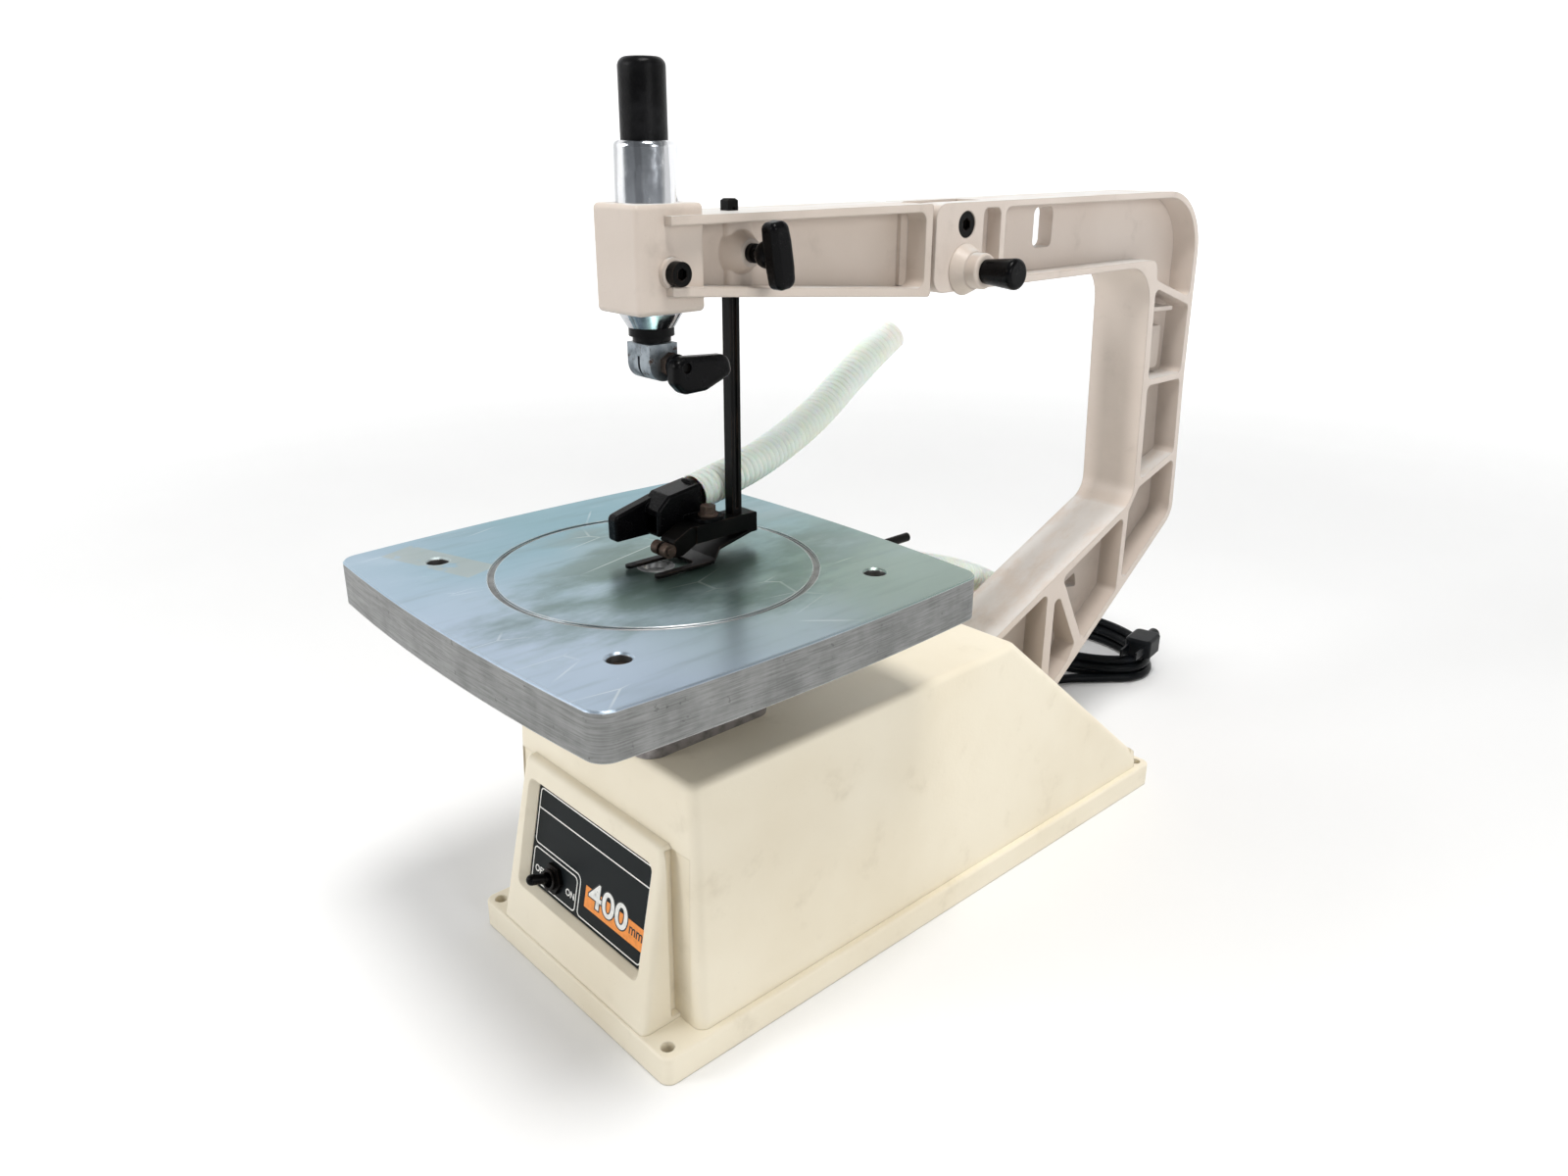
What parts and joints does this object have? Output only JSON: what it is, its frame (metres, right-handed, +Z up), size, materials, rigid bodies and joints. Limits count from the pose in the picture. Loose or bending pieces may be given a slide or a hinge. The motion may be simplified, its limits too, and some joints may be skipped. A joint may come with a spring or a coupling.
{
  "type": "scroll saw",
  "caption": "Benchtop scroll saw with a C-shaped cast arm, lift-up front arm, spring-loaded upper plunger, aluminium table, hold-down with dust nozzle and cream housing",
  "frame": {"origin": "centre of the base bolt pattern, on the bench face", "axes": "+Z up, +Y towards the back of the saw along the throat, +X to the operator's right"},
  "size_m": [0.2916, 0.6805, 0.459],
  "materials": {
    "cream_paint": "semi-gloss powder coat, fine orange peel",
    "arm_paint": "semi-gloss paint on a rough casting",
    "table_aluminium": "ground face, worn, with scratches",
    "plain_aluminium": "machined",
    "grey_casting": "as cast",
    "polished_chrome": "polished, a little tarnished",
    "zinc_steel": "zinc plated, worn",
    "black_steel": "black oxide, worn brown at the edges",
    "rusty_steel": "lightly rusted",
    "black_plastic": "moulded, glossy",
    "black_rubber": "cord jacket, slightly glossy",
    "label_print": "printed plate",
    "hose_plastic": "ribbed vinyl, slightly yellowed",
    "bronze": "oiled bearing bronze",
    "motor_black": "satin motor paint"
  },
  "bodies": {
    "frame": {"base_plate": "cream_paint", "housing_cover": "cream_paint", "cap_screws": "zinc_steel", "arm_foot_bolts": "zinc_steel", "switch_plate": "label_print", "switch_body": "black_plastic", "switch_bezel": "zinc_steel", "rear_arm": "arm_paint", "pivot_bolt": "black_steel", "lock_boss": "polished_chrome", "table": "table_aluminium", "table_support": "grey_casting", "table_insert": "plain_aluminium", "table_screws": "zinc_steel", "table_rear_pin": "black_steel", "lower_bush": "bronze", "motor_stator": "motor_black", "motor_end_shields": "grey_casting", "motor_cradle": "zinc_steel", "dust_port": "black_plastic", "floor_hose": "hose_plastic", "cord_gland": "black_rubber", "power_cord": "black_rubber", "cord_coil": "black_rubber", "plug": "black_rubber"},
    "crank": {"motor_rotor": "zinc_steel", "crank_disc": "zinc_steel", "cooling_fan": "black_plastic"},
    "lower_plunger": {"lower_plunger": "polished_chrome", "wrist_pin": "zinc_steel", "lower_clamp": "zinc_steel", "lower_clamp_screw": "black_steel"},
    "connecting_rod": {"connecting_rod": "zinc_steel", "crank_pin": "zinc_steel"},
    "front_arm": {"front_arm": "arm_paint", "spring_tube": "polished_chrome", "tube_nut": "polished_chrome", "tube_bush": "black_plastic", "tube_clamp_screw": "black_steel", "return_spring": "zinc_steel"},
    "upper_plunger": {"press_cap": "black_plastic", "upper_plunger": "polished_chrome", "upper_clamp": "zinc_steel", "clamp_screw": "rusty_steel", "clamp_nut": "rusty_steel"},
    "clamp_lever": {"clamp_lever": "black_plastic"},
    "tee_knob": {"tee_knob": "black_plastic", "tee_screw": "black_steel"},
    "hold_down": {"hold_down_rod": "black_steel", "hold_down_bar": "black_steel", "hold_down_foot": "black_steel", "roller_pin": "rusty_steel", "dust_nozzle": "black_plastic", "nozzle_bolt": "rusty_steel", "nozzle_hose": "hose_plastic"},
    "roller_left": {"guide_roller_left": "rusty_steel"},
    "roller_right": {"guide_roller_right": "rusty_steel"},
    "lock_pin": {"lock_pin": "polished_chrome", "lock_knob": "black_plastic"},
    "toggle": {"toggle_lever": "polished_chrome"}
  },
  "joints": [
    {"name": "crank_spin", "type": "hinge", "parent": "frame", "child": "crank", "pos_m": [0, -0.122, 0.07], "axis": [0, 1, 0], "continuous": true},
    {"name": "lower_slide", "type": "slide", "parent": "frame", "child": "lower_plunger", "axis": [0, 0, 1], "range_m": [-0.02, 0]},
    {"name": "rod_swing", "type": "hinge", "parent": "lower_plunger", "child": "connecting_rod", "pos_m": [0, -0.142, 0.125], "axis": [0, 1, 0], "range_deg": [-13, 13]},
    {"name": "arm_lift", "type": "hinge", "parent": "frame", "child": "front_arm", "pos_m": [0, 0.0576, 0.3828], "axis": [-1, 0, 0], "range_deg": [0, 35]},
    {"name": "plunger_press", "type": "slide", "parent": "front_arm", "child": "upper_plunger", "axis": [0, 0, -1], "range_m": [0, 0.025], "stiffness_N_per_m": 600, "springref_m": -0.01, "deforming": ["return_spring"]},
    {"name": "lever_turn", "type": "hinge", "parent": "upper_plunger", "child": "clamp_lever", "pos_m": [0.016, -0.139, 0.328], "axis": [-1, 0, 0], "range_deg": [0, 90]},
    {"name": "tee_turn", "type": "hinge", "parent": "front_arm", "child": "tee_knob", "pos_m": [0.03, -0.094, 0.376], "axis": [1, 0, 0], "continuous": true},
    {"name": "hold_down_slide", "type": "slide", "parent": "front_arm", "child": "hold_down", "axis": [0, 0, 1], "range_m": [0, 0.038]},
    {"name": "roller_left_spin", "type": "hinge", "parent": "hold_down", "child": "roller_left", "pos_m": [-0.0035, -0.14, 0.235], "axis": [1, 0, 0], "continuous": true},
    {"name": "roller_right_spin", "type": "hinge", "parent": "hold_down", "child": "roller_right", "pos_m": [0.0035, -0.14, 0.235], "axis": [1, 0, 0], "continuous": true},
    {"name": "lock_pull", "type": "slide", "parent": "frame", "child": "lock_pin", "axis": [1, 0, 0], "range_m": [0, 0.008], "stiffness_N_per_m": 500, "springref_m": -0.004},
    {"name": "toggle_flip", "type": "hinge", "parent": "frame", "child": "toggle", "pos_m": [-0.029, -0.19974, 0.05314], "axis": [0, 0.2019, 0.9794], "range_deg": [0, 36]}
  ]
}
